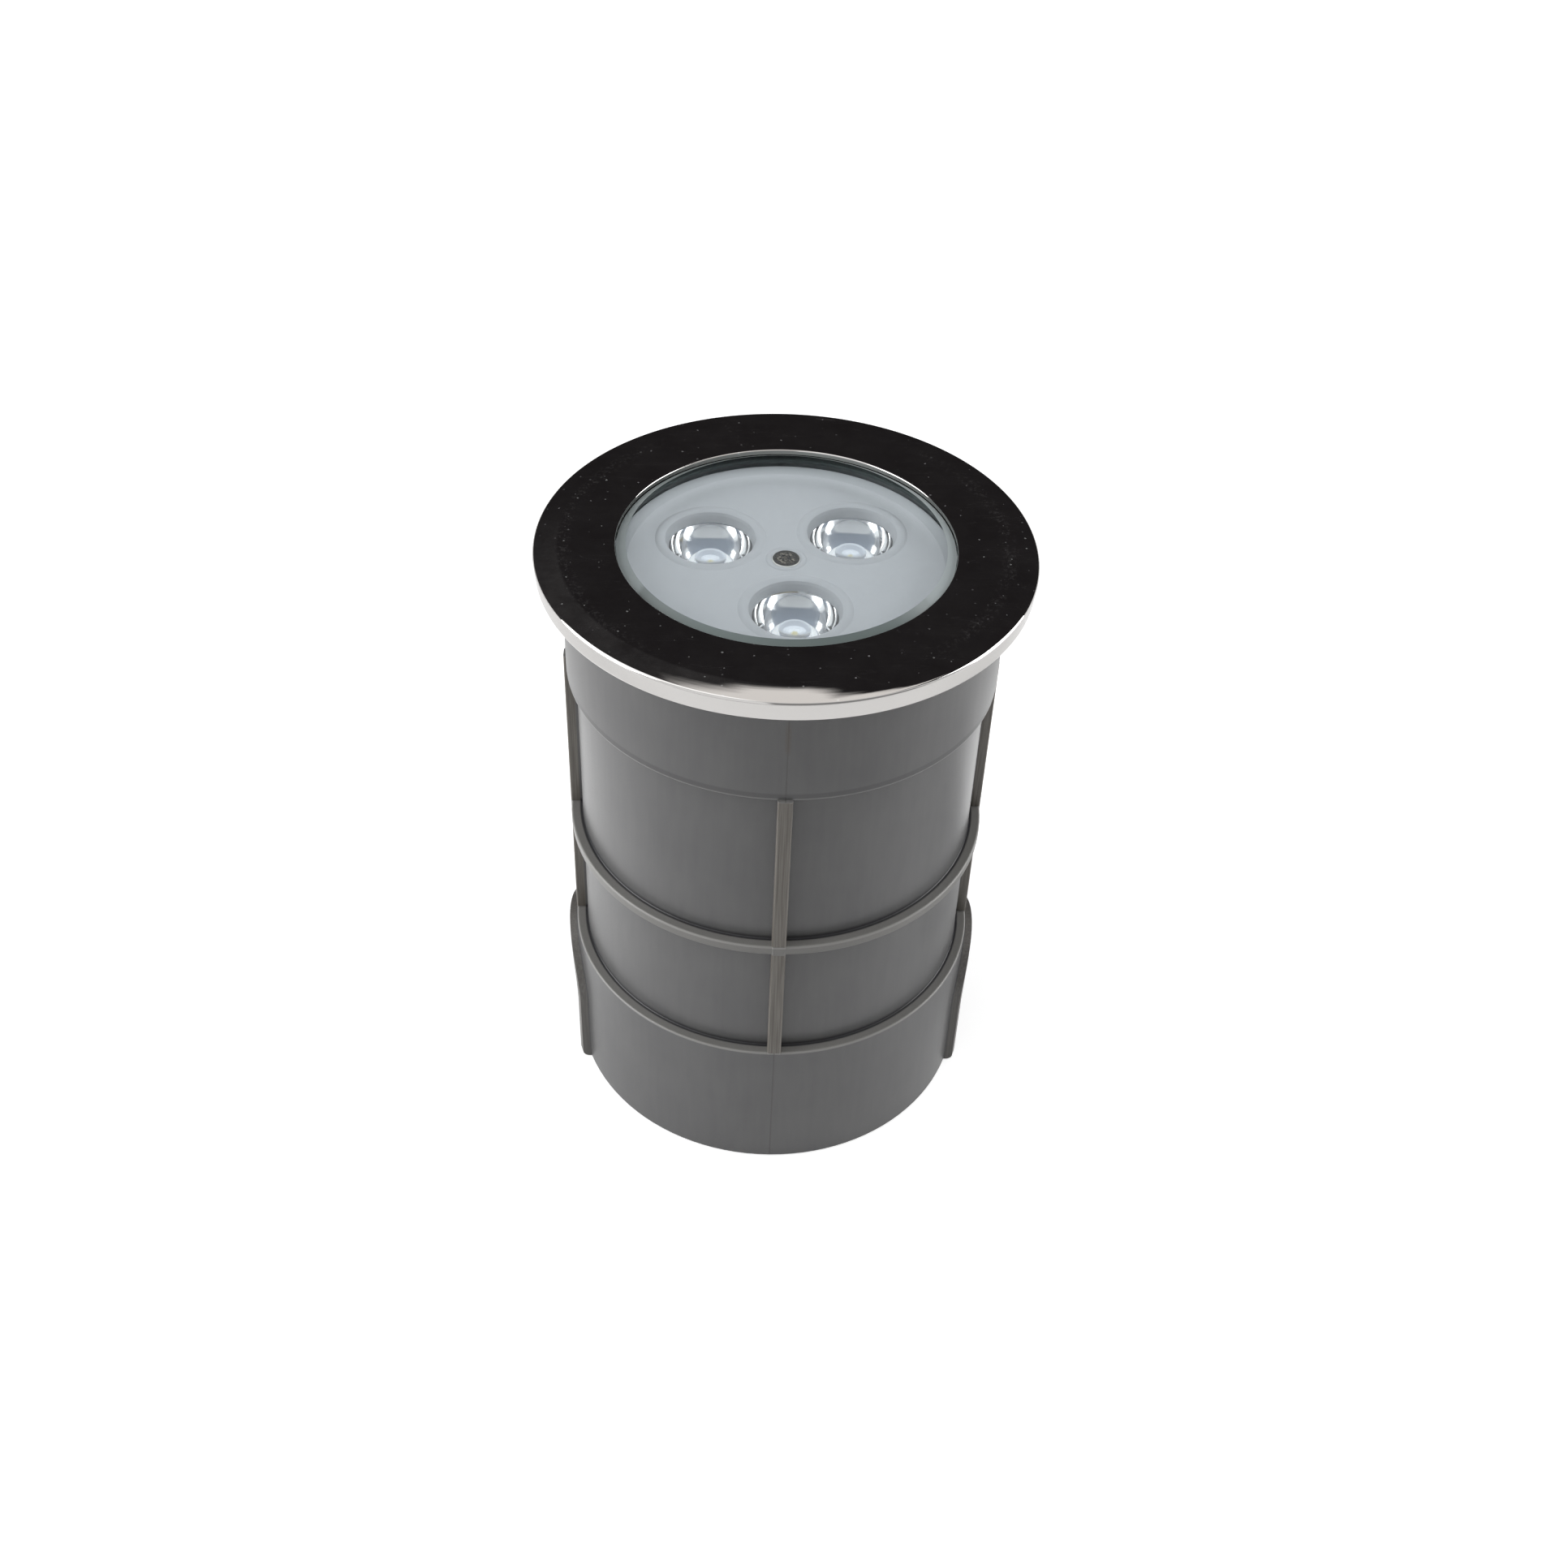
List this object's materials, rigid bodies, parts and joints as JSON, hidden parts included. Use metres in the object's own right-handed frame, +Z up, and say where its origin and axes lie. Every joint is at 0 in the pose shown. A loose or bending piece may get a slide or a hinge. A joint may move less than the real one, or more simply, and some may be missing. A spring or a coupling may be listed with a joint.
{
  "type": "recessed pool light",
  "caption": "Round recessed pool and deck light: polished bezel, stepped glass over clear lenses, sealed housing with cable gland, held by spring clips in a ribbed mounting sleeve.",
  "frame": {"origin": "centre of the sleeve's foot, on the ground plane", "axes": "+Z up along the lamp's axis; the two arched cable entries face +X and -X"},
  "size_m": [0.1114, 0.1114, 0.153],
  "materials": {
    "sleeve_plastic": "satin, slightly warm on the ribs",
    "polished_stainless": "mirror polished",
    "stainless_screw": "satin",
    "toughened_glass": "clear, greenish at the chamfer",
    "silicone": "matte",
    "cast_housing": "powder coated",
    "panel_plastic": "satin blue-grey",
    "brass_part": "plated",
    "clear_lens": "clear acrylic",
    "light_source": "silicone dome over phosphor",
    "white_board": "white solder mask",
    "thermal_pad": "matte",
    "aluminium_plate": "turned",
    "green_board": "green solder mask",
    "copper_winding": "lacquered wire",
    "capacitor_sleeve": "printed film, plain",
    "ferrite": "sintered",
    "black_plastic": "moulded",
    "red_wire": "flexible insulation",
    "black_wire": "flexible insulation",
    "gland_plastic": "moulded nylon",
    "rubber_seal": "matte",
    "spring_steel": "rolled"
  },
  "bodies": {
    "sleeve": {"mounting_sleeve": "sleeve_plastic"},
    "luminaire": {"bezel_ring": "polished_stainless", "bezel_screws": "stainless_screw", "glass_lens": "toughened_glass", "glass_gasket": "silicone", "housing": "cast_housing", "optic_panel": "panel_plastic", "panel_screw": "stainless_screw", "panel_spacer": "brass_part", "collimator_1": "clear_lens", "collimator_2": "clear_lens", "collimator_3": "clear_lens", "led_emitter_1": "light_source", "led_emitter_2": "light_source", "led_emitter_3": "light_source", "led_board": "white_board", "led_board_screws": "stainless_screw", "thermal_pad": "thermal_pad", "heat_spreader": "aluminium_plate", "spreader_screws": "stainless_screw", "driver_board": "green_board", "driver_posts": "brass_part", "driver_screws": "stainless_screw", "driver_inductor": "copper_winding", "driver_capacitors": "capacitor_sleeve", "driver_transformer": "ferrite", "terminal_block": "black_plastic", "lead_wire_red": "red_wire", "lead_wire_black": "black_wire", "gland_body": "gland_plastic", "gland_washer": "rubber_seal", "gland_locknut": "gland_plastic", "gland_seal": "rubber_seal", "gland_nut": "gland_plastic", "spring_clip_1": "spring_steel", "spring_clip_2": "spring_steel", "spring_clip_3": "spring_steel", "clip_screws": "stainless_screw"}
  },
  "joints": [
    {"name": "luminaire_lift", "type": "slide", "parent": "sleeve", "child": "luminaire", "axis": [0, 0, 1], "range_m": [0, 0.095]}
  ]
}
